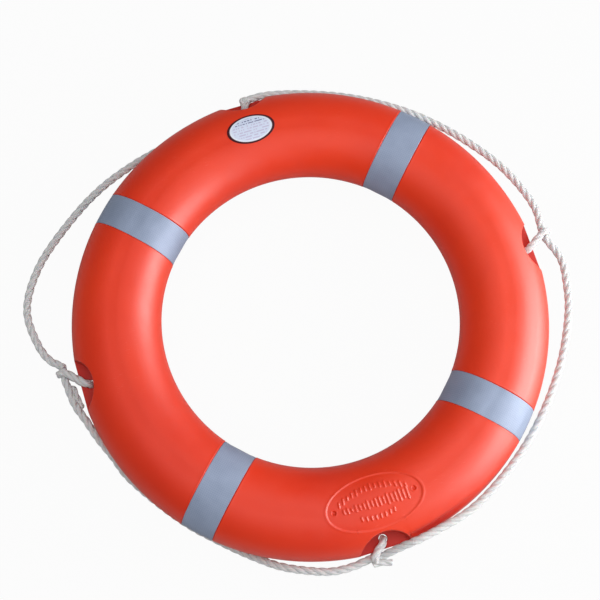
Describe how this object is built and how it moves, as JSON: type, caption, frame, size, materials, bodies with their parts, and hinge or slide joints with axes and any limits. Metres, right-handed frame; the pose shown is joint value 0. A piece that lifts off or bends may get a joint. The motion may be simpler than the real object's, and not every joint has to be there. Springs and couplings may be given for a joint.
{
  "type": "ring lifebuoy",
  "caption": "Rigid foam-filled ring lifebuoy with reflective tapes and a grab line slung between moulded eyelets round the rim.",
  "frame": {"origin": "centre of the ring, on its mid-plane", "axes": "+Z along the ring's axis out of the front face, +Y towards the anchor beside the label, +X towards the anchor a quarter turn clockwise from it as the front is seen"},
  "size_m": [0.8158, 0.7571, 0.1089],
  "materials": {
    "shell": "satin",
    "foam": "matte",
    "label": "satin",
    "plug": "satin",
    "tape": "satin",
    "line": "matte"
  },
  "bodies": {
    "buoy": {"shell_front": "shell", "shell_rear": "shell", "foam_core": "foam", "approval_label": "label", "filler_plug": "plug", "vent_plug": "plug", "reflective_tape_NE": "tape", "reflective_tape_NW": "tape", "reflective_tape_SW": "tape", "reflective_tape_SE": "tape", "line_hitch_N": "line", "line_hitch_E": "line", "line_hitch_S": "line", "line_hitch_W": "line"},
    "span_NE": {"grab_line_NE": "line"},
    "span_SE": {"grab_line_SE": "line"},
    "span_SW": {"grab_line_SW": "line"},
    "span_NW": {"grab_line_NW": "line"}
  },
  "joints": [
    {"name": "span_NE_swing", "type": "hinge", "parent": "buoy", "child": "span_NE", "pos_m": [0.01, 0.365, 0], "axis": [0.7439, -0.6683, 0], "range_deg": [-20, 45]},
    {"name": "span_SE_swing", "type": "hinge", "parent": "buoy", "child": "span_SE", "pos_m": [0.384, 0.01001, 0], "axis": [-0.723, -0.6909, 0], "range_deg": [-38, 14]},
    {"name": "span_SW_swing", "type": "hinge", "parent": "buoy", "child": "span_SW", "pos_m": [-0.02998, -0.36541, 0], "axis": [-0.6729, 0.7398, 0], "range_deg": [-24, 48]},
    {"name": "span_NW_swing", "type": "hinge", "parent": "buoy", "child": "span_NW", "pos_m": [-0.37723, 0.03795, 0], "axis": [0.7501, 0.6604, -0.0349], "range_deg": [-35, 22]}
  ]
}
